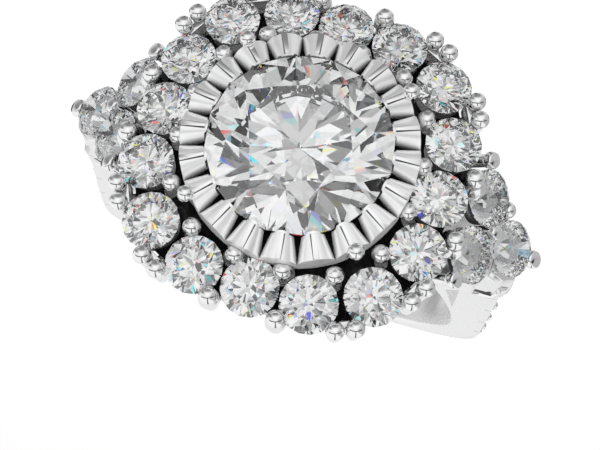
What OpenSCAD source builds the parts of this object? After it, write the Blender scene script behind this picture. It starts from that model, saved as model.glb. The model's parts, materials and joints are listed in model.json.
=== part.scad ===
// Halo engagement ring: a round centre stone in a fluted collar, a rounded-square halo of
// sixteen stones, three stones on each shoulder and a row of small stones down each side.
//
// The ring is drawn with its head up and its finger hole along Y, then laid on its side:
// the back of the halo and the foot of the shank carry it.

/* [Centre] */
// Diameter of the centre stone
centre_d = 7.4; // [5:0.1:9]
// Radius of the fluted collar round it
collar_r = 4.68; // [4:0.05:6]
// Number of flutes in the collar
flutes = 20; // [12:1:28]

/* [Halo] */
// Diameter of each of the sixteen halo stones
halo_d = 2.3; // [1.6:0.05:2.6]
// Mean distance of the halo stones from the middle
halo_r = 6.1; // [5.5:0.05:7]
// How far the halo is squared: 0 is a circle
halo_square = 0.055; // [0:0.005:0.08]
// How far the halo stones sit below the girdle of the centre stone
halo_drop = 1.06; // [0.5:0.02:2]
// Outward lean of the halo stones
halo_lean = 6.5; // [0:0.5:15]

/* [Shoulder stones] */
// Diameter of each shoulder stone
side_d = 2.4; // [1.8:0.05:2.6]
// Slope of the shoulder triangle
side_lean = 42; // [30:1:50]

/* [Shank] */
// Diameter of the finger hole
finger_d = 17; // [14:0.1:21]
// Thickness of the shank at its foot
shank_t = 1.5; // [1:0.05:2]
// Depth of the middle of the finger hole below the girdle of the centre stone
finger_drop = 14; // [12.5:0.1:15.5]
// Width of the shank at the level of the middle of the finger hole
shank_w = 3.9; // [3:0.1:4.6]
// Width of the shank at its foot
foot_w = 1.8; // [1.5:0.1:3]
// Diameter of each small stone of the shank
pave_d = 1.5; // [1:0.05:1.6]
// Number of small stones down each side
pave_count = 7; // [4:1:8]

/* [Hidden] */
$fa = 6;
$fs = 0.12;
gap = 0.03;
pave_sink = 0.08;
bead_r = 0.37;
post_r = 0.27;
finger_r = finger_d / 2;
shank_r = finger_r + shank_t;
// Heights of the stones' parts as shares of the diameter
crown = 0.155;
pavilion = 0.43;
table = 0.56;
girdle = 0.02;
// Shoulder stones: across, along the finger and down from the middle
flank = [7.72, 1.26, -2.7];
tip = [9.34, 0, -4.26];
// The row of small stones starts this far above the middle of the finger hole
pave_top = 5.1;
pave_pitch = 1.7;
// Underside of the plate below the halo stones, and how far it reaches past their middles
rail_z = -2.5;
rail_w = 0.62;
// The side walls are widest a little above the middle of the finger hole and narrow both ways
wide_z = 0.6;
narrowing = 0.14;
wall_top = 1.4;
// The outer sides rise from the round shank, leaned inwards a little
side_turn = 2.2;
side_rise = 6.9;
side_foot = [shank_r * cos(side_turn) - 0.003, shank_r * sin(side_turn) - finger_drop];
side_top = side_foot + side_rise * [-sin(side_turn), cos(side_turn)];

function halo_at(i, k = 0) =
    let (a = 22.5 * i, r = halo_r * (1 - halo_square * cos(4 * a)) + k)
    [r * cos(a), r * sin(a)];
function gap_at(i) = (halo_at(i) + halo_at(i + 1)) / 2;
function out(p, k) = p * (norm(p) + k) / norm(p);
function lift(p, z) = [p[0], p[1], z];
function mirrored(p, sx, sy) = [p[0] * sx, p[1] * sy, p[2]];
function side_w(z) =
    let (w = shank_w / 2 - narrowing * (sqrt(pow(z - wide_z, 2) + 4) - 2))
    max(w, z > 0 ? wall_top : foot_w / 2);

// Half of the plan of the cup below a tip stone, from the inside out
cup_side = [[8.45, 1.7], [9.3, 1.64], [9.56, 1.38], [9.9, 1.15], [10, 0.8], [10.03, 0.4]];

// At rest it lies on two posts at the back of the halo and on the edge of the foot
post_back = [out(gap_at(3), 0.95)[1] + post_r, rail_z + 0.1];
foot_edge = [foot_w / 2, -finger_drop - shank_r];
lean = atan2(post_back[0] - foot_edge[0], post_back[1] - foot_edge[1]);
rest_up = foot_edge[0] * cos(lean) - foot_edge[1] * sin(lean);
rest_along = 10.817;

// A round brilliant: table, stars, kites, upper and lower halves, mains
module brilliant(d) {
    r = d / 2;
    rt = table * r;
    rs = (rt * cos(22.5) + r) / 2;
    rl = 0.24 * r;
    g = girdle * d / 2;
    top = crown * d + g;
    low = -pavilion * d - g;
    zs = g + crown * d * (r - rs * cos(22.5)) / (r - rt);
    zl = low + (-g - low) * rl * cos(22.5) / r;
    points = concat(
        [for (k = [0:7]) [rt * cos(45 * k), rt * sin(45 * k), top]],
        [for (k = [0:7]) [rs * cos(45 * k + 22.5), rs * sin(45 * k + 22.5), zs]],
        [for (k = [0:15]) [r * cos(22.5 * k), r * sin(22.5 * k), g]],
        [for (k = [0:15]) [r * cos(22.5 * k), r * sin(22.5 * k), -g]],
        [for (k = [0:7]) [rl * cos(45 * k + 22.5), rl * sin(45 * k + 22.5), zl]],
        [[0, 0, low]]
    );
    faces = concat(
        [[for (k = [7:-1:0]) k]],
        [for (k = [0:7]) [k, 8 + k, 16 + 2 * k, 8 + (k + 7) % 8]],
        [for (k = [0:7]) [k, (k + 1) % 8, 8 + k]],
        [for (k = [0:7]) [8 + k, 17 + 2 * k, 16 + 2 * k]],
        [for (k = [0:7]) [8 + k, 16 + (2 * k + 2) % 16, 17 + 2 * k]],
        [for (k = [0:15]) [16 + k, 16 + (k + 1) % 16, 32 + (k + 1) % 16, 32 + k]],
        [for (k = [0:7]) [48 + k, 32 + 2 * k, 33 + 2 * k]],
        [for (k = [0:7]) [48 + k, 33 + 2 * k, 32 + (2 * k + 2) % 16]],
        [for (k = [0:7]) [56, 48 + (k + 7) % 8, 32 + 2 * k, 48 + k]]
    );
    polyhedron(points, faces);
}

// A small stone of the shank: table, eight crown and eight pavilion facets
module melee(d) {
    r = d / 2;
    g = 0.015 * d;
    points = concat(
        [for (k = [0:7]) [0.6 * r * cos(45 * k), 0.6 * r * sin(45 * k), 0.14 * d]],
        [for (k = [0:7]) [r * cos(45 * k), r * sin(45 * k), g]],
        [for (k = [0:7]) [r * cos(45 * k), r * sin(45 * k), -g]],
        [[0, 0, -0.4 * d]]
    );
    faces = concat(
        [[for (k = [7:-1:0]) k]],
        [for (k = [0:7]) [k, (k + 1) % 8, 8 + (k + 1) % 8, 8 + k]],
        [for (k = [0:7]) [8 + k, 8 + (k + 1) % 8, 16 + (k + 1) % 8, 16 + k]],
        [for (k = [0:7]) [16 + k, 16 + (k + 1) % 8, 24]]
    );
    polyhedron(points, faces);
}

// Room for a stone in the metal, open above its table and below its culet
module room(d, hole = 0.2) {
    r = d / 2 + gap;
    over = gap + 0.008 * d;
    g = girdle * d / 2;
    rotate_extrude()
        polygon([
            [0, -pavilion * d - 1.6],
            [hole * d, -pavilion * d - 1.6],
            [hole * d, -pavilion * d * (1 - 2 * hole) - g - over],
            [r, -g - over],
            [r, g + over],
            [table * d / 2, crown * d + g + over],
            [table * d / 2, crown * d + 0.6],
            [0, crown * d + 0.6]
        ]);
}

module rod(a, b, r) {
    v = b - a;
    translate(a)
        rotate([0, acos(v[2] / norm(v)), atan2(v[1], v[0])])
            cylinder(h = norm(v), r = r);
}

// A post with a ball on it
module bead(p, foot, r = bead_r) {
    rod(foot, p, post_r);
    translate(p)
        sphere(r);
}

// The same with a flared collar below the ball, which the stones' rooms cut into two wings
module winged(p, foot, flare, r = bead_r) {
    bead(p, foot, r);
    translate(p - [0, 0, 0.6])
        cylinder(h = 0.5, r1 = post_r + 0.02, r2 = r + flare);
}

module at_halo(i) {
    translate(lift(halo_at(i), -halo_drop))
        rotate([0, halo_lean, 22.5 * i])
            children();
}

module at_flank(sx, sy) {
    translate(mirrored(flank, sx, sy))
        rotate([0, sx * side_lean, 0])
            children();
}

module at_tip(sx) {
    translate(mirrored(tip, sx, 1))
        rotate([0, sx * side_lean, 0])
            children();
}

// The row runs down the straight side, then round the shank
module at_pave(sx, k) {
    s = pave_pitch * k - pave_top;
    turn = 90 - side_turn + max(s, 0) / shank_r * 180 / PI;
    translate([0, 0, -finger_drop])
        rotate([0, sx * turn, 0])
            translate([sx * min(s, 0), 0, shank_r - pave_sink])
                children();
}

// Half width of the shank and shoulders at each height
module width_profile() {
    rotate([90, 0, 90])
        linear_extrude(height = 24, center = true)
            translate([0, -finger_drop])
                polygon(concat(
                    [for (z = [-10.5:0.75:12]) [side_w(z), z]],
                    [for (z = [12:-0.75:-10.5]) [-side_w(z), z]]
                ));
}

// Outline of shank and shoulders seen along the finger
module side_profile() {
    rotate([90, 0, 0])
        linear_extrude(height = 8, center = true)
            difference() {
                union() {
                    translate([0, -finger_drop])
                        circle(shank_r, $fn = 128);
                    for (s = [-1, 1])
                        scale([s, 1])
                            polygon([
                                [3.5, -6],
                                [5.2, -3.1],
                                [6.6, -2.35],
                                [7.15, -3.1],
                                [9.2, -5.1],
                                side_top,
                                side_foot,
                                [5, side_foot[1]]
                            ]);
                }
                for (s = [-1, 1])
                    scale([s, 1])
                        polygon([[7.5, -8.5], [8.05, -7.9], [8.15, -10.5]]);
            }
}

module shank() {
    intersection() {
        side_profile();
        width_profile();
    }
}

// Flutes: cones side by side, narrow at the stone and touching at the rim, above a plain cup
module collar() {
    intersection() {
        for (k = [0:flutes - 1])
            rotate([0, 0, 360 / flutes * (k + 0.5)])
                translate([3.104, 0, 0.347])
                    rotate([0, 122, 0])
                        cylinder(h = 2.6, r1 = 0.054, r2 = 1.063);
        rotate_extrude()
            polygon([[3.6, -1.15], [collar_r - 0.17, -1.15], [collar_r, -0.87], [collar_r, 0.85], [3.6, 0.85]]);
    }
    rotate_extrude()
        polygon([[3.3, -0.75], [4.45, -0.75], [4.4, -1.1], [2.75, -3.9], [2.75, -4.6], [2.2, -4.6], [2.2, -3.7]]);
}

module corner_prongs() {
    for (k = [0:3])
        rotate([0, 0, 45 + 90 * k]) {
            bead([4.93, 0, -0.25], [4.72, 0, -1.7], 0.4);
            rod([3.76, 0, 0.2], [4.85, 0, -0.02], 0.19);
            rod([4.76, 0, -1.3], [2.6, 0, -4.3], 0.24);
        }
}

// A closed plate from the cup out under the halo stones, and a seat for each
module halo_rail() {
    translate([0, 0, rail_z])
        linear_extrude(height = 0.6)
            difference() {
                polygon([for (i = [0:15]) halo_at(i, rail_w)]);
                circle(3.27);
            }
    for (i = [0:15])
        at_halo(i)
            translate([0, 0, -1.2])
                cylinder(h = 0.85, r = 0.98);
}

module inner_beads() {
    for (i = [0:15]) {
        m = gap_at(i);
        foot = lift(out(m, -0.75), rail_z + 0.2);
        if (i == 3 || i == 4 || i == 11 || i == 12)
            winged(lift(out(m, -0.95), -0.85), foot, 0.1);
        else
            bead(lift(out(m, -0.95), -0.85), foot);
    }
}

// Two posts on a bar that links the neighbouring seats
module outer_pair(i) {
    a = halo_at(i);
    b = halo_at(i + 1);
    m = gap_at(i);
    u = (b - a) / norm(b - a);
    n = [u[1], -u[0]];
    for (s = [-1, 1])
        bead(lift(m + n * 1.17 + u * 0.39 * s, -0.85), lift(m + n * 1.08 + u * 0.37 * s, rail_z + 0.1));
    rod(lift(m, rail_z + 0.3), lift(m + n * 1.05, rail_z + 0.3), 0.29);
    translate(lift(m + n * 0.93, -1.8))
        rotate([0, 0, atan2(u[1], u[0])])
            cube([1.25, 0.32, 1.3], center = true);
}

module outer_beads() {
    for (i = [1, 2, 5, 6, 9, 10, 13, 14])
        outer_pair(i);
    for (i = [3, 4, 11, 12]) {
        p = out(gap_at(i), 0.95);
        winged(lift(p, -0.85), lift(p, rail_z + 0.1), 0.06);
        rod(lift(gap_at(i), rail_z + 0.3), lift(out(p, -0.05), rail_z + 0.3), 0.29);
    }
}

// Struts from the foot of the cup to the halo
module gallery() {
    for (i = [1, 2, 3, 4, 5, 6, 9, 10, 11, 12, 13, 14])
        rod(lift(gap_at(i) * 0.43, -4.2), lift(gap_at(i), rail_z + 0.2), 0.3);
    for (s = [-1, 1])
        rod([0, 0, -4.35], [s * 6, 0, -4.35], 0.5);
}

// A prong of the shoulder triangle, leaned with its stones and ending in a flat disc
module leaned(sx, p, r = bead_r) {
    translate([sx * p[0], p[1], p[2]])
        rotate([0, sx * side_lean, 0]) {
            translate([0, 0, -1.6])
                cylinder(h = 1.6, r = post_r);
            intersection() {
                sphere(r);
                translate([0, 0, 0.58 * r - 2])
                    cube(4, center = true);
            }
        }
}

// Seats and prongs of the shoulder triangles, and the cup below each tip stone
module shoulder_seats() {
    for (sx = [-1, 1]) {
        for (sy = [-1, 1]) {
            at_flank(sx, sy)
                translate([0, 0, -1.5])
                    cylinder(h = 1.2, r = 1.1);
            winged([sx * 6.85, sy * 1.33, -1.35], [sx * 6.6, sy * 1.33, -3.2], 0.19, 0.42);
            leaned(sx, [7.3, sy * 2.62, -2.15]);
            rod([sx * 6.3, sy * 2.62, -3.25], [sx * 7, sy * 1.5, -3.7], post_r);
        }
        leaned(sx, [8.35, 0, -2.9], 0.33);
        leaned(sx, [10.3, 0, -4.8], 0.4);
        tip_cup(sx);
    }
    // One more bead, only at the right, between the back stone and the tip stone
    bead([8.62, 1.28, -3.5], [8.2, 1.2, -5.1], 0.36);
}

module cup_outline(k = 0) {
    polygon([for (p = concat(cup_side, [for (i = [len(cup_side) - 1:-1:0]) [cup_side[i][0], -cup_side[i][1]]]))
        [p[0] + k, p[1] + k * sign(p[1])]]);
}

// An upright wall round the tip stone with a small step at its foot
module tip_cup(sx) {
    intersection() {
        scale([sx, 1, 1])
            translate([9.8, 0, -6.95]) {
                linear_extrude(height = 3.2, scale = 0.66, slices = 1)
                    translate([-9.8, 0])
                        cup_outline();
                linear_extrude(height = 0.26)
                    translate([-9.8, 0])
                        cup_outline(0.07);
            }
        at_tip(sx)
            translate([0, 0, -5.4])
                cube([12, 12, 10], center = true);
    }
}

module rooms() {
    room(centre_d);
    for (i = [0:15])
        at_halo(i)
            room(halo_d);
    for (sx = [-1, 1]) {
        for (sy = [-1, 1])
            at_flank(sx, sy)
                room(side_d);
        at_tip(sx)
            room(side_d);
    }
}

// Seats of the small stones, and a slot at each edge of the shank between two of them
module pave_rooms() {
    for (sx = [-1, 1]) {
        for (k = [0:pave_count - 1])
            at_pave(sx, k)
                rotate_extrude()
                    polygon([
                        [0, -0.4 * pave_d - 0.1],
                        [0.12, -0.4 * pave_d - 0.1],
                        [pave_d / 2 + gap, -2 * gap],
                        [pave_d / 2 + gap, 1],
                        [0, 1]
                    ]);
        for (k = [0:pave_count], sy = [-1, 1])
            at_pave(sx, k - 0.5)
                translate([0, sy * (side_w(pave_top - pave_pitch * (k - 0.5)) - 0.05), 0.1])
                    cube([0.16, 0.7, 0.7], center = true);
    }
}

// The head's own frame laid on its side, on the floor
module at_rest() {
    translate([0, rest_along, rest_up])
        rotate([lean - 90, 0, 0])
            children();
}

module setting() {
    color("Silver")
        at_rest()
            difference() {
                union() {
                    shank();
                    collar();
                    corner_prongs();
                    halo_rail();
                    inner_beads();
                    outer_beads();
                    gallery();
                    shoulder_seats();
                }
                rooms();
                pave_rooms();
                translate([0, 0, -finger_drop])
                    rotate([90, 0, 0])
                        cylinder(h = 30, r = finger_r, center = true);
            }
}

module centre_stone() {
    color("White")
        at_rest()
            brilliant(centre_d);
}

module halo_stone(i) {
    color("White")
        at_rest()
            at_halo(i)
                brilliant(halo_d);
}

module flank_stone(sx, sy) {
    color("White")
        at_rest()
            at_flank(sx, sy)
                brilliant(side_d);
}

module tip_stone(sx) {
    color("White")
        at_rest()
            at_tip(sx)
                brilliant(side_d);
}

module shank_stones(sx) {
    color("White")
        at_rest()
            for (k = [0:pave_count - 1])
                at_pave(sx, k)
                    melee(pave_d);
}

setting();
centre_stone();
halo_stone(0);  // halo_stone_01
halo_stone(1);  // halo_stone_02
halo_stone(2);  // halo_stone_03
halo_stone(3);  // halo_stone_04
halo_stone(4);  // halo_stone_05
halo_stone(5);  // halo_stone_06
halo_stone(6);  // halo_stone_07
halo_stone(7);  // halo_stone_08
halo_stone(8);  // halo_stone_09
halo_stone(9);  // halo_stone_10
halo_stone(10);  // halo_stone_11
halo_stone(11);  // halo_stone_12
halo_stone(12);  // halo_stone_13
halo_stone(13);  // halo_stone_14
halo_stone(14);  // halo_stone_15
halo_stone(15);  // halo_stone_16
flank_stone(1, -1);  // right_front_stone
flank_stone(1, 1);  // right_back_stone
tip_stone(1);  // right_tip_stone
flank_stone(-1, -1);  // left_front_stone
flank_stone(-1, 1);  // left_back_stone
tip_stone(-1);  // left_tip_stone
shank_stones(1);  // right_shank_stones
shank_stones(-1);  // left_shank_stones
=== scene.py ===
# %% [markdown]
# # A halo engagement ring
#
# The ring is cast and soldered from white metal: a fluted collar round the centre stone, a
# rounded square of sixteen halo stones held by round beads, a triangle of three stones on each
# shoulder, and a band whose outer edge carries a row of small stones. It lies on its side, on the
# back of the halo and on the foot of the band, and the camera looks down on its head.
#
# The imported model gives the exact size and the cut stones. This script gives the metal its
# rounded, polished form, and lights it the way jewellery is lit: in a white tent with dark seams.

import json
from math import acos, atan2, cos, degrees, hypot, pi, radians, sin, sqrt

import bmesh
import bpy
from mathutils import Matrix, Vector

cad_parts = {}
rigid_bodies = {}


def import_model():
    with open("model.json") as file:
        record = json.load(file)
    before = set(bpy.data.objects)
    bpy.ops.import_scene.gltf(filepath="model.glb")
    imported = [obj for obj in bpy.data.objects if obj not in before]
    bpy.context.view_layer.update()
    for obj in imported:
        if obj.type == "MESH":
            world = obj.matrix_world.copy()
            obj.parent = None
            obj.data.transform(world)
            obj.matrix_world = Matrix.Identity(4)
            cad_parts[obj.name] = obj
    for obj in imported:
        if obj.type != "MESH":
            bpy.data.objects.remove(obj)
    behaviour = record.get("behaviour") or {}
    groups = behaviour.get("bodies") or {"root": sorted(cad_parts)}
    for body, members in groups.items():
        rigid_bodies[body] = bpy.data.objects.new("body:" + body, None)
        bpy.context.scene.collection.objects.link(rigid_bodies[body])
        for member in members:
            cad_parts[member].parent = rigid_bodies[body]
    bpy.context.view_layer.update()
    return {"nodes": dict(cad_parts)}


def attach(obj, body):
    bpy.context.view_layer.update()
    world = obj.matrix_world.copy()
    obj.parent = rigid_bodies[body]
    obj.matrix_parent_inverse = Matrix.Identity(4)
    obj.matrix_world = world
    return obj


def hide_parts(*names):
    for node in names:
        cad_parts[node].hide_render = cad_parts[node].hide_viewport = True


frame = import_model()
scene = bpy.context.scene
print("CAD nodes:", len(frame["nodes"]))

# %% [markdown]
# ## The head's own frame
#
# A ring is easiest to draw with its head up and its finger hole along Y, in millimetres, with the
# girdle of the centre stone at height 0. One matrix, HEAD, then lays every piece on its side and
# turns it into metres. The alternative, drawing each piece where it lies, would tilt every
# number in the script.

# %% Sizes in millimetres
CENTRE_D = 7.4
HALO_D = 2.3
SIDE_D = 2.4
PAVE_D = 1.5
FINGER_R = 8.5
SHANK_R = 10.0
FINGER_DROP = 14.0
FOOT_HALF = 0.9
COLLAR_R = 4.68
FLUTES = 20
HALO_COUNT = 16
HALO_STEP = 360 / HALO_COUNT
HALO_R = 6.1
HALO_SQUARE = 0.055
HALO_Z = -1.06
RAIL_Z = -2.5
BEAD_R = 0.37
BEAD_OUT = 0.95
BEAD_Z = -0.85
POST_R = 0.27
FLANK = Vector((7.72, 1.26, -2.7))
TIP = Vector((9.34, 0, -4.26))
HALO_LEAN = 6.5
SIDE_LEAN = 42


# %% Where the halo stones sit
def halo_at(i, extra=0.0):
    """Plan position of halo stone i, counted from +X, on a slightly squared circle."""
    angle = radians(HALO_STEP * i)
    r = HALO_R * (1 - HALO_SQUARE * cos(4 * angle)) + extra
    return Vector((r * cos(angle), r * sin(angle), 0))


def gap_at(i):
    return (halo_at(i) + halo_at(i + 1)) / 2


def out(point, extra):
    """The point moved outwards from the middle."""
    return point * (point.length + extra) / point.length


def lift(point, z):
    return Vector((point[0], point[1], z))


# %% From the head's frame to the floor
def moved(x=0.0, y=0.0, z=0.0):
    return Matrix.Translation((x, y, z))


def turned(angle, axis):
    return Matrix.Rotation(radians(angle), 4, axis)


# the two points that touch the floor, as (y, z): the foot of a back post and the foot of the band
post_back = (out(gap_at(3), BEAD_OUT).y + POST_R, RAIL_Z + 0.1)
foot_edge = (FOOT_HALF, -FINGER_DROP - SHANK_R)
LEAN = degrees(atan2(post_back[0] - foot_edge[0], post_back[1] - foot_edge[1]))
REST_UP = foot_edge[0] * cos(radians(LEAN)) - foot_edge[1] * sin(radians(LEAN))
REST_ALONG = 10.817
HEAD = Matrix.Scale(0.001, 4) @ moved(0, REST_ALONG, REST_UP) @ turned(LEAN - 90, "X")
print(f"the head leans {LEAN:.2f} degrees above the floor")

# %% [markdown]
# ## Materials from expressions
#
# A node tree is sums and products, so it reads best as sums and products. Wire wraps one output
# socket and turns + - * > into Math nodes; Graph.node adds any other node. Plain numbers are
# worked out in Python before they reach the tree.

# %% Wire and Graph
class Wire:
    """An output socket that takes part in sums."""

    def __init__(self, graph, socket):
        self.graph, self.socket = graph, socket

    def math(self, operation, a, b=None, clamp=False):
        values = {0: a} if b is None else {0: a, 1: b}
        settings = {"operation": operation, "use_clamp": clamp}
        return self.graph.node("ShaderNodeMath", settings, values)

    def __add__(self, other): return self.math("ADD", self, other)
    def __radd__(self, other): return self.math("ADD", other, self)
    def __sub__(self, other): return self.math("SUBTRACT", self, other)
    def __rsub__(self, other): return self.math("SUBTRACT", other, self)
    def __mul__(self, other): return self.math("MULTIPLY", self, other)
    def __rmul__(self, other): return self.math("MULTIPLY", other, self)
    def __gt__(self, other): return self.math("GREATER_THAN", self, other)
    def __abs__(self): return self.math("ABSOLUTE", self)

    def ramp(self, low, high):
        """0 below low, 1 above high, smooth between; low may be the larger of the two."""
        span = self.math("MULTIPLY", self - low, 1 / (high - low), clamp=True)
        return span * span * (3 - 2 * span)


class Graph:
    """A node tree that is emptied and built again."""

    def __init__(self, tree):
        self.tree = tree
        tree.nodes.clear()

    def node(self, kind, settings=(), values=(), output=0):
        made = self.tree.nodes.new(kind)
        for name, setting in dict(settings).items():
            setattr(made, name, setting)
        for key, value in dict(values).items():
            if isinstance(value, Wire):
                self.tree.links.new(value.socket, made.inputs[key])
            else:
                made.inputs[key].default_value = value
        return Wire(self, made.outputs[output]) if made.outputs else made


def mixed(graph, factor, a, b):
    """A blend of two colours, which are inputs 6 and 7 and output 2 of the mix node."""
    sockets = {0: factor, 6: a, 7: b}
    return graph.node("ShaderNodeMix", {"data_type": "RGBA"}, sockets, output=2)


def grey(value):
    return (value, value, value, 1)


def new_material(name):
    """A material, and the graph to draw it in."""
    material = bpy.data.materials.new(name)
    material.use_nodes = True
    return material, Graph(material.node_tree)


# %% [markdown]
# ## White metal
#
# Polished white gold mirrors the tent round it, so most of its look is light and not colour. Real
# polish still has faint haze and wheel marks, which two noises give to the roughness. Where other
# pieces crowd the metal, an occlusion test paints shade into its colour and takes away some or all
# of its metallic sheen, so the metal deep between the stones goes dark. The flutes and the band are
# satin, which here is a wider haze and a little less sheen.

# %% The metal's material
def metal_material(name, haze=0.02, sheen=1.0, darkest=0.01, hidden=0.0, reach=0.0009,
                   closed=0.16, open_at=0.5):
    """White gold with shade painted into it where other pieces crowd it.

    In the open, haze is its least roughness and sheen its metallic share. Where it is crowded,
    darkest is its painted shade grey and hidden the part of the sheen that is left. Openness, from 0
    to 1, is looked for within reach, in metres. It counts as crowded up to closed, as open from
    open_at."""
    material, graph = new_material(name)
    place = graph.node("ShaderNodeTexCoord", output="Object")
    clouds = graph.node("ShaderNodeTexNoise", values={"Vector": place, "Scale": 900, "Detail": 4})
    marks = graph.node("ShaderNodeTexNoise", values={"Vector": place, "Scale": 5200, "Detail": 2})
    # painted shade: where the occlusion test finds other pieces near, the colour falls to darkest and
    # the metallic share falls with it
    openness = graph.node("ShaderNodeAmbientOcclusion", {"samples": 6}, {"Distance": reach}, "AO")
    lit = openness.ramp(closed, open_at)
    tone = mixed(graph, clouds, grey(0.93), grey(0.95))
    surface = graph.node("ShaderNodeBsdfPrincipled", values={
        "Base Color": mixed(graph, lit, grey(darkest), tone),
        "Metallic": sheen * (hidden + (1 - hidden) * lit),
        "Roughness": haze + 0.05 * clouds.ramp(0.45, 0.75) + 0.02 * marks,
        "Specular IOR Level": 0.0})
    graph.node("ShaderNodeOutputMaterial", values={"Surface": surface})
    return material


# every finish below paints shade into crowded metal; darkest and hidden set how deep it goes
polished = metal_material("polished_white_gold")
flute_metal = metal_material("satin_white_gold", haze=0.3, sheen=0.75)
# painted shade for the line along each flute strip: openness never reaches 1.5, so this one is dark and
# matt all over
strip_edge_shade_metal = metal_material("painted_strip_edge_shade", darkest=0.08, closed=1.5, open_at=2)
open_metal = metal_material("open_white_gold", darkest=0.5, hidden=1.0)
band_metal = metal_material("band_white_gold", haze=0.25, darkest=0.8, hidden=0.7, sheen=0.85)
seat_metal = metal_material("seat_white_gold", haze=0.15, darkest=0.02, closed=0.3, open_at=0.8)
# painted shade: with a reach of 3 mm the collar's cup, plate and gallery go nearly black where the halo
# stands over them
shaded_metal = metal_material("shaded_white_gold", haze=0.3, darkest=0.002, reach=0.003,
                              closed=0.4, open_at=0.8)

# %% [markdown]
# ## Cut stone
#
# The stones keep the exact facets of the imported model. Diamond bends light far more than glass,
# so the index of refraction is 2.42, and the rest is what the facets find to reflect.

# %% The stones' material
def stone_material():
    material, graph = new_material("brilliant_cut_stone")
    place = graph.node("ShaderNodeTexCoord", output="Object")
    cloud = graph.node("ShaderNodeTexNoise", values={"Vector": place, "Scale": 300, "Detail": 1})
    tone = mixed(graph, cloud, (0.985, 0.99, 1, 1), (1, 1, 1, 1))
    surface = graph.node("ShaderNodeBsdfPrincipled", values={
        "Base Color": tone, "Roughness": 0.0, "IOR": 2.42, "Transmission Weight": 1.0})
    graph.node("ShaderNodeOutputMaterial", values={"Surface": surface})
    return material


stone = stone_material()
for name, node in frame["nodes"].items():
    if name != "setting":
        node.data.materials.clear()
        node.data.materials.append(stone)

# %% [markdown]
# ## Tools of the bench
#
# Nearly all of a ring's metal is turned: a profile swept round an axis. Cast metal is then filed
# flat or burred out for the stones, which here is bisect_plane and a Boolean. A few helpers do
# that, and one finishes every piece: it sets the sharp edges, lays the piece down and names what
# it stands for.

# %% Shapes
def add(bm, shape, at=Matrix()):
    """Moves a small shape to its place and joins it to a piece."""
    shape.transform(at)
    mesh = bpy.data.meshes.new("shape")
    shape.to_mesh(mesh)
    shape.free()
    bm.from_mesh(mesh)
    bpy.data.meshes.remove(mesh)


def lathe(profile, steps=32, closed=False):
    """A profile of (radius, height) points turned round Z."""
    shape = bmesh.new()
    points = [shape.verts.new((r, 0, z)) for r, z in profile]
    pairs = list(zip(points, points[1:])) + ([(points[-1], points[0])] if closed else [])
    for pair in pairs:
        shape.edges.new(pair)
    bmesh.ops.spin(shape, geom=shape.verts[:] + shape.edges[:], cent=(0, 0, 0), axis=(0, 0, 1),
                   dvec=(0, 0, 0), angle=2 * pi, steps=steps, use_merge=True)
    bmesh.ops.remove_doubles(shape, verts=shape.verts, dist=1e-5)
    bmesh.ops.recalc_face_normals(shape, faces=shape.faces)
    return shape


def rod(a, b, r, steps=16):
    """A round bar between two points."""
    a, b = Vector(a), Vector(b)
    shape = bmesh.new()
    turn = (b - a).to_track_quat("Z", "Y").to_matrix().to_4x4()
    bmesh.ops.create_cone(shape, cap_ends=True, segments=steps, radius1=r, radius2=r,
                          depth=(b - a).length, matrix=Matrix.Translation((a + b) / 2) @ turn)
    return shape


def softened(shape, soft=0.04):
    """Rounds every edge of a shape."""
    bmesh.ops.bevel(shape, geom=shape.edges[:], offset=soft, affect="EDGES", segments=2,
                    profile=0.5, material=-1)


def block(x, y, z, soft=0.04):
    """A bar with softened edges."""
    shape = bmesh.new()
    bmesh.ops.create_cube(shape, size=1, matrix=Matrix.Diagonal((x, y, z, 1)))
    softened(shape, soft)
    return shape


def arc(r, low, high, steps):
    """Profile points on a circle, from angle low to angle high."""
    angles = [radians(low + (high - low) * k / steps) for k in range(steps + 1)]
    return [(max(r * cos(a), 0.0), r * sin(a)) for a in angles]


# %% Files and burrs
def sliced(bm, point, normal):
    """Files away what lies beyond a plane, and closes the cut."""
    cut = bmesh.ops.bisect_plane(bm, geom=bm.verts[:] + bm.edges[:] + bm.faces[:], dist=1e-6,
                                 plane_co=point, plane_no=normal, clear_outer=True)
    edges = [e for e in cut["geom_cut"] if isinstance(e, bmesh.types.BMEdge)]
    if edges:
        bmesh.ops.holes_fill(bm, edges=edges, sides=0)


def object_of(name, bm):
    """Turns a bmesh into an object of the scene."""
    mesh = bpy.data.meshes.new(name)
    bm.to_mesh(mesh)
    bm.free()
    made = bpy.data.objects.new(name, mesh)
    scene.collection.objects.link(made)
    return made


def tool_of(bm, name):
    """An object that only cuts, and is removed when the pieces are done."""
    bmesh.ops.recalc_face_normals(bm, faces=bm.faces)
    return object_of(name, bm)


def burred(bm, tool):
    """Cuts a bmesh with a tool by a Boolean modifier, and takes the result back.
    The solver is quick but wants closed shapes that stay clear of each other."""
    work = tool_of(bm.copy(), "work")
    cut = work.modifiers.new("burr", "BOOLEAN")
    cut.operation, cut.solver, cut.object = "DIFFERENCE", "MANIFOLD", tool
    shaped = work.evaluated_get(bpy.context.evaluated_depsgraph_get())
    before = len(bm.faces)
    bm.clear()
    bm.from_mesh(shaped.data)
    bpy.data.objects.remove(work)
    print(f"  burr: {before} faces, then {len(bm.faces)}")


# %% Finishing a piece
def finish_piece(name, bm, material=polished, sharp=38):
    """Softly shaded metal, sharp where faces turn by more than sharp degrees."""
    bmesh.ops.recalc_face_normals(bm, faces=bm.faces)
    for face in bm.faces:
        face.smooth = True
    for edge in bm.edges:
        edge.smooth = edge.calc_face_angle(0) < radians(sharp)
    bm.transform(HEAD)
    piece = object_of(name, bm)
    piece.data.materials.append(material)
    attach(piece, "root")
    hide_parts("setting")
    print(f"{name}: {len(piece.data.polygons)} faces")


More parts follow.
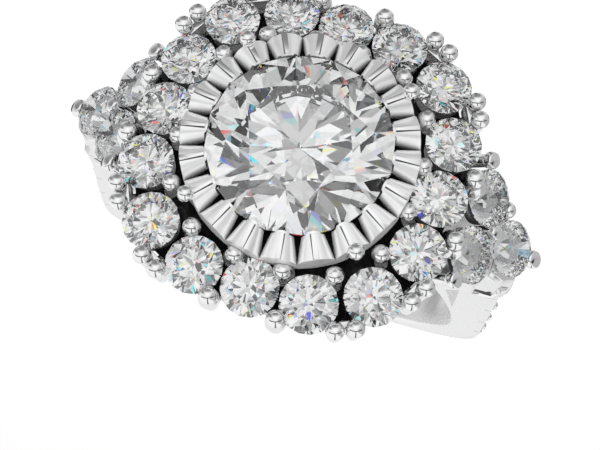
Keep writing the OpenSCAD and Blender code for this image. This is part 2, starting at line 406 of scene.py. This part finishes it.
# %% [markdown]
# ## Room for the stones
#
# A setter cuts a bearing for each stone with a burr of the stone's own shape. The same burr,
# a turned profile a hair larger than the stone, cuts the collar, the beads, the cups and the
# plate, so the metal hugs the stones just as filed metal does.

# %% The burrs
# depths and widths of a cut stone as shares of its diameter, and its clearance in millimetres
CROWN, PAVILION, TABLE, GIRDLE, GAP = 0.155, 0.43, 0.56, 0.02, 0.03
HOLE = 0.2
SHAFT_DOWN, SHAFT_UP = 1.6, 0.6


def halo_place(i):
    spot = Matrix.Translation(lift(halo_at(i), HALO_Z))
    return spot @ turned(HALO_STEP * i, "Z") @ turned(HALO_LEAN, "Y")


def side_place(point, sx, sy=1):
    return moved(sx * point.x, sy * point.y, point.z) @ turned(sx * SIDE_LEAN, "Y")


def clearance(d):
    """Room above and below a stone's girdle, where its facets slope."""
    return GAP + 0.008 * d


def burr(d):
    """The room of a stone of diameter d, with a hole below it and a clear shaft above its table."""
    r, over, g = d / 2 + GAP, clearance(d), GIRDLE * d / 2
    return lathe([
        (0, -PAVILION * d - SHAFT_DOWN), (HOLE * d, -PAVILION * d - SHAFT_DOWN),
        (HOLE * d, -PAVILION * d * (1 - 2 * HOLE) - g - over),
        (r, -g - over), (r, g + over),
        (TABLE * d / 2, CROWN * d + g + over), (TABLE * d / 2, CROWN * d + SHAFT_UP),
        (0, CROWN * d + SHAFT_UP)], steps=64)


bm = bmesh.new()
for i in range(HALO_COUNT):
    add(bm, burr(HALO_D), halo_place(i))
for sx in (-1, 1):
    add(bm, burr(SIDE_D), side_place(TIP, sx))
    for sy in (-1, 1):
        add(bm, burr(SIDE_D), side_place(FLANK, sx, sy))
stone_burrs = tool_of(bm, "stone_burrs")
centre_burr = tool_of(burr(CENTRE_D), "centre_burr")

# %% [markdown]
# ## The fluted collar
#
# Twenty flutes stand round the centre stone like the petals of a sunflower: each is a slice of a
# cone that widens outwards and dips, so that two neighbours touch at the rim and leave a dark
# notch next to the stone. One flute is a cone filed on both sides to its share of the circle;
# turned copies are merged into one ring. A displaced disc would lose the crisp creases. A thin
# flat strip lies along the top of every flute. The narrow bar in front of it is painted shade,
# a dark matt line for the fine shadow along the strip's edge; no groove is cut.

# %% One flute
CONE_FOOT = (3, 0, 0.217)
CONE_R, CONE_END_R, CONE_LENGTH, CONE_DIP = 0.207, 0.987, 2.6, 27.5
FLUTE_START, FLUTE_DEPTH = 3.6, 1.15


def flute_angle(k):
    return 360 / FLUTES * (k + 0.5)


def flute():
    """A dipping cone along +X, filed to its share of the circle and left open on both sides."""
    bm = bmesh.new()
    axis = turned(90 + CONE_DIP, "Y")
    bmesh.ops.create_cone(bm, cap_ends=True, segments=96, radius1=CONE_R, radius2=CONE_END_R,
                          depth=CONE_LENGTH, matrix=moved(*CONE_FOOT) @ axis @ moved(z=CONE_LENGTH / 2))
    share = pi / FLUTES
    # three cuts at the rim and at the start follow the circle
    for angle in (-4, 0, 4):
        n = Vector((cos(radians(angle)), sin(radians(angle)), 0))
        sliced(bm, n * COLLAR_R, n)
        sliced(bm, n * FLUTE_START, -n)
    sliced(bm, (0, 0, -FLUTE_DEPTH), (0, 0, -1))
    for side in (-1, 1):
        n = Vector((-sin(share), side * cos(share), 0))
        sliced(bm, (0, 0, 0), n)
        flat = [f for f in bm.faces if all(abs(v.co.dot(n)) < 1e-4 for v in f.verts)]
        bmesh.ops.delete(bm, geom=flat, context="FACES")
    return bm


# %% The collar
bm = bmesh.new()
for k in range(FLUTES):
    add(bm, flute(), turned(flute_angle(k), "Z"))
bmesh.ops.remove_doubles(bm, verts=bm.verts, dist=1e-4)
print("  open edges of the collar:", sum(e.is_boundary for e in bm.edges))
burred(bm, centre_burr)
finish_piece("fluted_collar", bm, flute_metal, sharp=30)

# %% The strips on the flutes
STRIP_LENGTH, STRIP_WIDTH, STRIP_THICK, STRIP_TAPER = 0.98, 0.2, 0.1, 0.15
STRIP_R, STRIP_Z, STRIP_DIP = 4.19, 0.21, 10.8


def on_flute(k, y, z):
    """A place along the top of flute k, y beside its middle, dipping as the flute does."""
    return turned(flute_angle(k), "Z") @ moved(STRIP_R, y, z) @ turned(STRIP_DIP, "Y")


bm = bmesh.new()
for k in range(FLUTES):
    strip = block(STRIP_LENGTH, STRIP_WIDTH, STRIP_THICK, soft=0.008)
    for v in strip.verts:
        v.co.y *= 1 + STRIP_TAPER if v.co.x > 0 else 1 - STRIP_TAPER
    add(bm, strip, on_flute(k, 0, STRIP_Z))
burred(bm, centre_burr)
finish_piece("flute_strips", bm, sharp=30)

# %% The painted shade line in front of each strip
LINE_WIDTH, LINE_SIDE, LINE_Z, FRONT_TURN = 0.024, 0.118, 0.18, 19

# painted shade: a thin dark matt bar lies where the fine shadow line along each strip's edge is seen
bm = bmesh.new()
for k in range(FLUTES):
    # half of the flutes, those within 90 degrees of FRONT_TURN, show their clockwise side
    front = -1 if cos(radians(flute_angle(k) - FRONT_TURN)) > 0 else 1
    line = block(STRIP_LENGTH, LINE_WIDTH, STRIP_THICK, soft=0.004)
    add(bm, line, on_flute(k, LINE_SIDE * front, LINE_Z))
finish_piece("flute_strip_shade_lines", bm, strip_edge_shade_metal)

# %% The collar's cup
cup = lathe([(3.3, -0.75), (4.45, -0.75), (4.4, -1.1), (2.75, -3.9), (2.75, -4.6),
             (2.2, -4.6), (2.2, -3.7)], steps=96, closed=True)
finish_piece("collar_cup", cup, shaded_metal)

# %% [markdown]
# ## Beads and posts
#
# Each bead is the rounded end of a post. It is turned in one go, ball, neck and post, so that
# no seam shows where the ball meets the post. The foot is then drawn sideways to where the post
# is soldered. Beads between the front and back stones have a skirt below the ball that widens
# downwards, and the burrs cut it into two wings.

# %% A bead on a post
SKIRT_TOP, SKIRT_LIP, SKIRT_FOOT, POST_BEND = -0.12, -0.55, -0.8, 0.5


def bead(at, foot, r=BEAD_R, flare=None):
    """A ball on a post; flare is how far the lip of its skirt stands out from the ball."""
    at, foot = Vector(at), Vector(foot)
    length = at.z - foot.z
    if flare is None:
        neck = [(POST_R, -length), *arc(r, -degrees(acos(POST_R / r)), 90, 14)]
    else:
        lip = r + flare
        neck = [(POST_R, -length), (POST_R + 0.02, SKIRT_FOOT), (lip - 0.03, SKIRT_LIP - 0.05),
                (lip, SKIRT_LIP), (r + 0.03, SKIRT_TOP), (r * 0.99, SKIRT_TOP / 2),
                *arc(r, -4, 90, 12)]
    shape = lathe([(0, -length), *neck], steps=40)
    for v in shape.verts:
        share = max(0.0, (-POST_BEND - v.co.z) / (length - POST_BEND))
        v.co += Vector((share * (foot.x - at.x), share * (foot.y - at.y), 0)) + at
    return shape


# %% Inner beads, one in every gap of the halo
WINGED = (3, 4, 11, 12)
PAIRED = (1, 2, 5, 6, 9, 10, 13, 14)

bm = bmesh.new()
for i in range(HALO_COUNT):
    m = gap_at(i)
    add(bm, bead(lift(out(m, -BEAD_OUT), BEAD_Z), lift(out(m, -0.75), RAIL_Z + 0.2),
                 flare=0.1 if i in WINGED else None))
burred(bm, stone_burrs)
finish_piece("inner_beads", bm)

# %% Outer beads, in pairs on a bar or single with wings
BAR_R, BAR_Z = 0.29, RAIL_Z + 0.3

bm, bars, plates = bmesh.new(), bmesh.new(), bmesh.new()
for i in PAIRED:
    m = gap_at(i)
    # u runs along the halo from stone to stone, n outwards
    u = (halo_at(i + 1) - halo_at(i)).normalized()
    n = Vector((u.y, -u.x, 0))
    for s in (-1, 1):
        add(bm, bead(lift(m + n * 1.17 + u * 0.39 * s, BEAD_Z),
                     lift(m + n * 1.08 + u * 0.37 * s, RAIL_Z + 0.1)))
    add(bars, rod(lift(m, BAR_Z), lift(m + n * 1.05, BAR_Z), BAR_R))
    add(plates, block(1.25, 0.32, 1.3),
        Matrix.Translation(lift(m + n * 0.93, -1.8)) @ turned(degrees(atan2(u.y, u.x)), "Z"))
for i in WINGED:
    p = out(gap_at(i), BEAD_OUT)
    add(bm, bead(lift(p, BEAD_Z), lift(p, RAIL_Z + 0.1), flare=0.06))
    add(bars, rod(lift(gap_at(i), BAR_Z), lift(out(p, -0.05), BAR_Z), BAR_R))
for shape in (bm, bars, plates):
    burred(shape, stone_burrs)
add(bars, plates)
finish_piece("outer_beads", bm)
finish_piece("outer_bars", bars)

# %% [markdown]
# ## Corner prongs
#
# Four prongs stand at the corners of the collar: a ball at the outer end of a flute, whose strip
# grips the girdle, and a stem that goes down between the flutes and the halo.

# %% The corner prongs
bm = bmesh.new()
for k in range(4):
    corner = turned(45 + 90 * k, "Z")
    add(bm, bead((4.82, 0, 0.2), (4.72, 0, -1.7), r=0.33), corner)
    add(bm, rod((4.76, 0, -1.3), (2.6, 0, -4.3), 0.24), corner)
finish_piece("corner_prongs", bm, open_metal)

# %% [markdown]
# ## Seats and plate of the halo
#
# Under each halo stone is a small cup, open at its foot, and the cups stand on a flat plate that
# reaches in to the collar's cup. The gaps between the stones are black, so no light comes through
# from below. The plate is a turned ring whose outer corners are then moved out below the stones.

# %% A seat with its bearing
def seat(d, low, high, outer):
    """A cup from height low to high, outer in radius, hollowed to the slope of a stone."""
    g = GIRDLE * d / 2 + GAP + 0.008 * d
    edge, foot = d / 2 + GAP, HOLE * d
    drop = PAVILION * d * (1 - 2 * HOLE)
    inner = edge + (high + g) * (edge - foot) / drop
    return lathe([(inner, high), (outer, high), (outer, low), (foot, low), (foot, -drop - g)],
                 steps=40, closed=True)


bm = bmesh.new()
for i in range(HALO_COUNT):
    add(bm, seat(HALO_D, -1.2, -0.35, 0.98), halo_place(i))
finish_piece("halo_seats", bm, seat_metal)

# %% The plate
PLATE_R, PLATE_TOP, PLATE_RIM = 3.27, RAIL_Z + 0.6, 0.62

bm = lathe([(PLATE_R, RAIL_Z), (HALO_R, RAIL_Z), (HALO_R, PLATE_TOP), (PLATE_R, PLATE_TOP)],
           steps=16, closed=True)
for v in bm.verts:
    if v.co.xy.length > 5:
        v.co = lift(halo_at(degrees(atan2(v.co.y, v.co.x)) / HALO_STEP, PLATE_RIM), v.co.z)
burred(bm, stone_burrs)
finish_piece("halo_plate", bm, shaded_metal)

# %% [markdown]
# ## Gallery
#
# Thin struts run from the foot of the collar's cup out to the plate, and two stout ones to the
# shoulders. They carry the halo, and from below they show as a wheel.

# %% The gallery
bm = bmesh.new()
for i in sorted(PAIRED + WINGED):
    add(bm, rod(lift(gap_at(i) * 0.43, -4.2), lift(gap_at(i), RAIL_Z + 0.2), 0.3))
for s in (-1, 1):
    add(bm, rod((0, 0, -4.35), (6 * s, 0, -4.35), 0.5, steps=24))
finish_piece("gallery", bm, shaded_metal)

# %% [markdown]
# ## Shoulders
#
# Each shoulder holds three stones that lean outwards. Their prongs lean with them and end in
# small filed discs, and two larger beads with wide skirts stand where the triangle meets the
# halo. One small bead more is on the right shoulder alone.

# %% Shoulder seats
bm = bmesh.new()
for sx in (-1, 1):
    for sy in (-1, 1):
        add(bm, seat(SIDE_D, -1.5, -0.3, 1.1), side_place(FLANK, sx, sy))
finish_piece("shoulder_seats", bm, seat_metal)


# %% Shoulder prongs
FILED, LEANED_LENGTH = 0.58, 1.6


def add_leaned(bm, sx, x, y, z, r=BEAD_R):
    """Adds a leaned prong whose ball is filed flat at a share FILED of its radius."""
    cap = degrees(acos(sqrt(1 - FILED ** 2)))
    profile = [(0, -LEANED_LENGTH), (POST_R, -LEANED_LENGTH),
               *arc(r, -degrees(acos(POST_R / r)), cap - 4, 12),
               (r * cos(radians(cap)) - 0.03, FILED * r), (0, FILED * r)]
    add(bm, lathe(profile, steps=40), moved(sx * x, y, z) @ turned(sx * SIDE_LEAN, "Y"))


bm = bmesh.new()
links = bmesh.new()
for sx in (-1, 1):
    for sy in (-1, 1):
        add(bm, bead((6.85 * sx, 1.33 * sy, -1.35), (6.6 * sx, 1.33 * sy, -3.2), r=0.42,
                     flare=0.19))
        add_leaned(bm, sx, 7.3, 2.62 * sy, -2.15)
        add(links, rod((6.3 * sx, 2.62 * sy, -3.25), (7 * sx, 1.5 * sy, -3.7), POST_R))
    add_leaned(bm, sx, 8.35, 0, -2.9, 0.33)
    add_leaned(bm, sx, 10.3, 0, -4.8, 0.4)
add(bm, bead((8.62, 1.28, -3.5), (8.2, 1.2, -5.1), r=0.36))
burred(bm, stone_burrs)
finish_piece("shoulder_prongs", bm, open_metal)
finish_piece("shoulder_links", links)

# %% [markdown]
# ## Cups below the tip stones
#
# The tip stone stands in an upright cup with a small step at its foot. Its plan is drawn once,
# pulled up and narrowed, and filed to the slope of the stone.

# %% The tip cups
CUP_SIDE = ((8.45, 1.7), (9.3, 1.64), (9.56, 1.38), (9.9, 1.15), (10.0, 0.8), (10.03, 0.4))
CUP_X, CUP_Z = 9.8, -6.95


def cup_wall(grow, height, narrow):
    """The cup's plan, grown, then pulled up by height and narrowed about its middle."""
    bm = bmesh.new()
    side = [(x - CUP_X + grow, y + grow) for x, y in CUP_SIDE]
    plan = side + [(x, -y) for x, y in reversed(side)]
    face = bm.faces.new([bm.verts.new((x, y, 0)) for x, y in plan])
    top = bmesh.ops.extrude_face_region(bm, geom=[face])["geom"]
    verts = [v for v in top if isinstance(v, bmesh.types.BMVert)]
    bmesh.ops.scale(bm, vec=(narrow, narrow, 1), verts=verts)
    bmesh.ops.translate(bm, vec=(0, 0, height), verts=verts)
    bm.transform(moved(CUP_X, 0, CUP_Z))
    return bm


cups, steps = bmesh.new(), bmesh.new()
for sx in (-1, 1):
    cup, step = cup_wall(0, 3.2, 0.66), cup_wall(0.07, 0.26, 1)
    plane = side_place(TIP, 1)
    sliced(cup, plane @ Vector((0, 0, -0.4)), plane.to_3x3() @ Vector((0, 0, 1)))
    for shape, pair in ((cup, cups), (step, steps)):
        softened(shape)
        bmesh.ops.scale(shape, vec=(sx, 1, 1), verts=shape.verts)
        bmesh.ops.recalc_face_normals(shape, faces=shape.faces)
        add(pair, shape)
burred(cups, stone_burrs)
add(cups, steps)
finish_piece("tip_cups", cups)

# %% [markdown]
# ## The band
#
# The band is one rounded section swept round the finger. Its outer side rises straight from the
# round part to the shoulders, and its walls narrow towards the foot. A unit section is spun, and
# every point is then moved out to the true outline, so the rounded edges keep their size while
# the wall between them stretches.

# %% Outline and width of the band
WALL_TOP, WIDEST, WIDEST_Z, NARROWING = 1.4, 1.95, 0.6, 0.14
SIDE_SLOPE, SIDE_LENGTH = 2.2, 6.9
slope = radians(SIDE_SLOPE)
SIDE_FOOT = Vector((SHANK_R * cos(slope), SHANK_R * sin(slope)))
SIDE_TOP = SIDE_FOOT + SIDE_LENGTH * Vector((-sin(slope), cos(slope)))
# the outline from the straight side over the shoulder to the hole, as (x, height over the hole)
SHOULDER = (SIDE_FOOT, SIDE_TOP, Vector((9.2, 8.9)), Vector((7.15, 10.9)), Vector((6.6, 11.65)),
            Vector((5.2, 10.9)), Vector((4.15, 9.1)))


def outer_radius(x, z):
    """How far the band reaches in the direction (x, z) from the middle of the finger hole."""
    d = Vector((abs(x), z)).normalized()
    for a, b in zip(SHOULDER, SHOULDER[1:]):
        if a.cross(d) >= 0 and d.cross(b) >= 0:
            return a.cross(b) / (d.cross(b) - d.cross(a))
    return SHANK_R


def half_width(z):
    """Half the band's width at a height, rounded off within 2 mm of where it is widest."""
    width = WIDEST - NARROWING * (sqrt((z - WIDEST_Z) ** 2 + 4) - 2)
    return max(width, WALL_TOP if z > 0 else FOOT_HALF)


# %% Spin and stretch the band
bm = bmesh.new()
corners = ((FINGER_R, -1), (SHANK_R, -1), (SHANK_R, 1), (FINGER_R, 1))
section = [bm.verts.new((x, y, 0)) for x, y in corners]
for a, b in zip(section, section[1:] + section[:1]):
    bm.edges.new((a, b))
inner = [section[0], section[3]]
bmesh.ops.bevel(bm, geom=inner, offset=0.3, affect="VERTICES", segments=6, profile=0.5, material=-1)
outer = [v for v in bm.verts if v.co.x > SHANK_R - 0.1]
bmesh.ops.bevel(bm, geom=outer, offset=0.1, affect="VERTICES", segments=3, profile=0.5, material=-1)
bmesh.ops.spin(bm, geom=bm.verts[:] + bm.edges[:], cent=(0, 0, 0), axis=(0, 1, 0),
               dvec=(0, 0, 0), angle=2 * pi, steps=288, use_merge=True)
for v in bm.verts:
    r = hypot(v.co.x, v.co.z)
    c, s = v.co.x / r, v.co.z / r
    if r > (FINGER_R + SHANK_R) / 2:
        r += outer_radius(c, s) - SHANK_R
    wide = half_width(r * s)
    y = v.co.y + (wide - 1 if v.co.y > 0 else 1 - wide)
    v.co = (r * c, y, r * s - FINGER_DROP)

# %% Notch, seats and ticks
PAVE_COUNT, PAVE_TOP, PAVE_PITCH = 7, 5.1, 1.7
NOTCH = ((7.5, -8.5), (8.05, -7.9), (8.15, -10.5))
TICK = (0.16, 0.7, 0.7, 1)


def pave_place(sx, k):
    """Place number k of the row: down the straight side, then round the band."""
    s = PAVE_PITCH * k - PAVE_TOP
    turn = 90 - SIDE_SLOPE + degrees(max(s, 0) / SHANK_R)
    return moved(z=-FINGER_DROP) @ turned(sx * turn, "Y") @ moved(sx * min(s, 0), 0, SHANK_R - 0.08)


def tick_place(sx, k, sy, inset, along=0.0):
    """A place between stones k - 1 and k, inset from the band's front or back edge."""
    edge = half_width(PAVE_TOP - PAVE_PITCH * (k - 0.5)) - inset
    return pave_place(sx, k - 0.5) @ moved(along, sy * edge, 0.1)


def pave_burr():
    r = PAVE_D / 2 + GAP
    return lathe([(0, -0.7), (0.12, -0.7), (r, -0.06), (r, 1), (0, 1)], steps=40)


cuts = bmesh.new()
for sx in (-1, 1):
    notch = cuts.faces.new([cuts.verts.new((sx * x, -4, z)) for x, z in NOTCH])
    pulled = bmesh.ops.extrude_face_region(cuts, geom=[notch])["geom"]
    verts = [v for v in pulled if isinstance(v, bmesh.types.BMVert)]
    bmesh.ops.translate(cuts, vec=(0, 8, 0), verts=verts)
    for k in range(PAVE_COUNT):
        add(cuts, pave_burr(), pave_place(sx, k))
    for k in range(PAVE_COUNT + 1):
        for sy in (-1, 1):
            tick = tick_place(sx, k, sy, 0.05) @ Matrix.Diagonal(TICK)
            bmesh.ops.create_cube(cuts, size=1, matrix=tick)
band_cuts = tool_of(cuts, "band_cuts")
burred(bm, band_cuts)
finish_piece("band", bm, band_metal, sharp=32)

# %% [markdown]
# ## Beads of the band
#
# The small stones are held by beads raised from the metal between them, two at each tick. They
# are tiny, so each is a plain ball of about a hundred faces.

# %% The band's beads
bm = bmesh.new()
for sx in (-1, 1):
    for k in range(PAVE_COUNT + 1):
        for sy in (-1, 1):
            for along in (-0.19, 0.19):
                bmesh.ops.create_uvsphere(bm, u_segments=12, v_segments=8, radius=0.17,
                                          matrix=tick_place(sx, k, sy, 0.38, along))
finish_piece("band_beads", bm, open_metal)

for tool in (stone_burrs, centre_burr, band_cuts):
    bpy.data.objects.remove(tool)

# %% [markdown]
# ## The tent
#
# Jewellery is photographed inside a white tent, and polished metal shows the whole of it. The
# seams between its panels draw thin dark lines on every bead, and the open sides draw the dark
# flanks. The world shader is that tent for mirror-like rays only. Rays that left a stone
# see a finer pattern of light and dark cells, once each for red, green and blue in slightly
# turned directions, which gives the facets their contrast and their fire. The floor and the
# satin share of the metal get plain white light.

# %% Camera
# in the head's frame: turn as an axis times radians, shift in millimetres, the rest in pixels
CAM_TURN = Vector((-0.2939, -0.0601, -0.3369))
CAM_SHIFT = Vector((0.3247, 2.1597, -40.4239))
FOCAL_PX, MIDDLE_X, MIDDLE_Y = 1046.72, 291.537, 199.503
PICTURE = (600, 450)

to_camera = Matrix.Rotation(CAM_TURN.length, 3, CAM_TURN.normalized())
eye = -(to_camera.transposed() @ CAM_SHIFT)
rest_turn = turned(LEAN - 90, "X")
camera = bpy.data.objects.new("camera", bpy.data.cameras.new("camera"))
scene.collection.objects.link(camera)
camera.data.sensor_width = 36
camera.data.lens = 36 * FOCAL_PX / PICTURE[0]
camera.data.shift_x = (PICTURE[0] / 2 - MIDDLE_X) / PICTURE[0]
camera.data.shift_y = (MIDDLE_Y - PICTURE[1] / 2) / PICTURE[0]
camera.data.clip_start = 0.001
place = HEAD @ Matrix.Translation(eye)
turn = rest_turn.to_3x3() @ to_camera.transposed()
camera.matrix_world = Matrix.Translation(place.translation) @ turn.to_4x4()
scene.camera = camera
right, up, back = (turn.col[k].normalized() for k in range(3))
print("camera at", [round(c * 1000, 1) for c in place.translation], "mm")


# %% The tent as a world shader
HEAD_UP = rest_turn.to_3x3() @ Vector((0, 0, 1))
SEAM_TILT, SEAM_WIDTH = 23, 7
CELL_SCALE, CELL_DARKEST = 2.6, 0.02
CELL_STEPS = ((0.24, 0.1, 0.15), (0.38, 0.28, 0.4), (0.3, 0.66, 0.8))
FIRE = 0.007


def dot(graph, a, b):
    return graph.node("ShaderNodeVectorMath", {"operation": "DOT_PRODUCT"}, {0: a, 1: b}, "Value")


def seam(distance):
    """1 on a line along a plane, fading out at SEAM_WIDTH degrees to each side."""
    return abs(distance).ramp(sin(radians(SEAM_WIDTH)), sin(radians(SEAM_WIDTH * 0.45)))


def tent(graph, ray):
    """Brightness of the white tent in a direction.

    side and height say how far it points to the camera's right and up, rise how far along the
    head, level how far above the plane of the long seam. A ramp is the soft edge of a panel."""
    tilt = radians(SEAM_TILT)
    level = dot(graph, ray, up * cos(tilt) + back * sin(tilt))
    side = dot(graph, ray, right)
    height = dot(graph, ray, up)
    rise = dot(graph, ray, HEAD_UP)
    low = rise.ramp(0.6, -0.6)
    facing = level.ramp(0, -0.12)
    # two seams cross; neither goes on beyond the far left and right
    beyond = abs(side).ramp(0.85, 0.92) * rise.ramp(0.25, 0.1)
    across = seam(level) * (1 - beyond)
    sewn = facing * rise.ramp(-0.75, -0.6) + level.ramp(0.1, 0.3) * low
    along = seam(side) * (1 - beyond) * sewn
    light = 0.84 + 0.16 * rise.ramp(0.8, 1) + 0.1 * facing * rise.ramp(-0.8, -0.4)
    # the open sides, where less light comes from
    left = side.ramp(-0.45, -0.8) * height.ramp(0.3, 0.5)
    right_low = side.ramp(0.3, 0.65) * height.ramp(0.2, 0) * height.ramp(-0.75, -0.6)
    right_high = side.ramp(0.55, 0.9) * height.ramp(0, 0.2)
    behind = height.ramp(0.6, 0.95)
    dusk = (1 - 0.7 * left) * (1 - 0.5 * right_low) * (1 - 0.4 * right_high) * (1 - 0.7 * behind)
    return light * dusk * (1 - 0.92 * across) * (1 - 0.9 * along)


def sparkle(graph, ray, shift, tint):
    """The cells seen through the stones, in one colour's direction; tint is that colour's
    share in the few cells that are sky. CELL_STEPS holds (brightness, from, to) of each step."""
    turned_ray = graph.node("ShaderNodeVectorMath", {"operation": "ADD"}, {0: ray, 1: shift})
    pattern = {"Vector": turned_ray, "Scale": CELL_SCALE}
    cells = graph.node("ShaderNodeTexVoronoi", values=pattern, output="Color")
    tone = graph.node("ShaderNodeSeparateColor", values={"Color": cells}, output="Red")
    other = graph.node("ShaderNodeSeparateColor", values={"Color": cells}, output="Green")
    sky = other.ramp(0.8, 0.86)
    level = CELL_DARKEST
    for brightness, low, high in CELL_STEPS:
        level = level + brightness * tone.ramp(low, high)
    return level * (1 - (1 - tint) * sky)


world = bpy.data.worlds.new("tent")
scene.world = world
world.use_nodes = True
graph = Graph(world.node_tree)
ray = graph.node("ShaderNodeTexCoord", output="Generated")
mirrored_light = tent(graph, ray)
mirrored = graph.node("ShaderNodeCombineColor", values={
    "Red": mirrored_light, "Green": mirrored_light, "Blue": mirrored_light * 1.01})
inside = graph.node("ShaderNodeCombineColor", values={
    "Red": sparkle(graph, ray, (FIRE, -FIRE, 0), 0.42),
    "Green": sparkle(graph, ray, (0, 0, 0), 0.8),
    "Blue": sparkle(graph, ray, (-FIRE, FIRE, 0), 1.05)})
is_glossy = graph.node("ShaderNodeLightPath", output="Is Glossy Ray")
is_inside = graph.node("ShaderNodeLightPath", output="Transmission Depth") > 0.5
glow = mixed(graph, is_glossy, grey(0.97), mirrored)
glow = mixed(graph, is_inside, glow, inside)
background = graph.node("ShaderNodeBackground", values={"Color": glow, "Strength": 1.0})
graph.node("ShaderNodeOutputWorld", values={"Surface": background})

# %% [markdown]
# ## Floor and lamp
#
# The floor is a plain white sheet. One broad lamp behind the camera lifts it to white and leaves
# a faint soft shadow behind the ring. Mirror-like rays pass the floor and the lamp, so the metal
# shows the tent and the ring alone.

# %% Floor
bm = bmesh.new()
bmesh.ops.create_grid(bm, x_segments=1, y_segments=1, size=3)
floor = object_of("floor", bm)
paper, graph = new_material("paper_floor")
surface = graph.node("ShaderNodeBsdfPrincipled", values={
    "Base Color": grey(0.96), "Roughness": 0.9, "Specular IOR Level": 0.0})
graph.node("ShaderNodeOutputMaterial", values={"Surface": surface})
floor.data.materials.append(paper)
floor.visible_glossy = False
floor.visible_transmission = False

# %% Which rays see the ring
# the floor and the satin metal take their plain light as if nothing stood in its way
for piece in scene.objects:
    if piece.type == "MESH" and piece is not floor:
        piece.visible_diffuse = False
# rays that left a stone pass these three and reach the cells, so the stones there stay light
for name in ("shoulder_seats", "tip_cups", "band"):
    bpy.data.objects[name].visible_transmission = False
# the world is read only where rays end, and isn't sampled as a lamp
world.cycles.sampling_method = "NONE"

# %% Lamp
lamp = bpy.data.objects.new("lamp", bpy.data.lights.new("lamp", "AREA"))
scene.collection.objects.link(lamp)
lamp.data.shape = "DISK"
lamp.data.size = 0.14
lamp.data.energy = 0.25
lamp.location = (0.02, 0.26, 0.13)
lamp.rotation_euler = (Vector((0, 0, 0.005)) - lamp.location).to_track_quat("-Z", "Y").to_euler()
lamp.visible_glossy = False
lamp.visible_transmission = False

# %% View
scene.view_settings.view_transform = "Standard"
scene.cycles.max_bounces = 24
scene.cycles.glossy_bounces = 16
scene.cycles.transmission_bounces = 20
scene.cycles.sample_clamp_indirect = 6
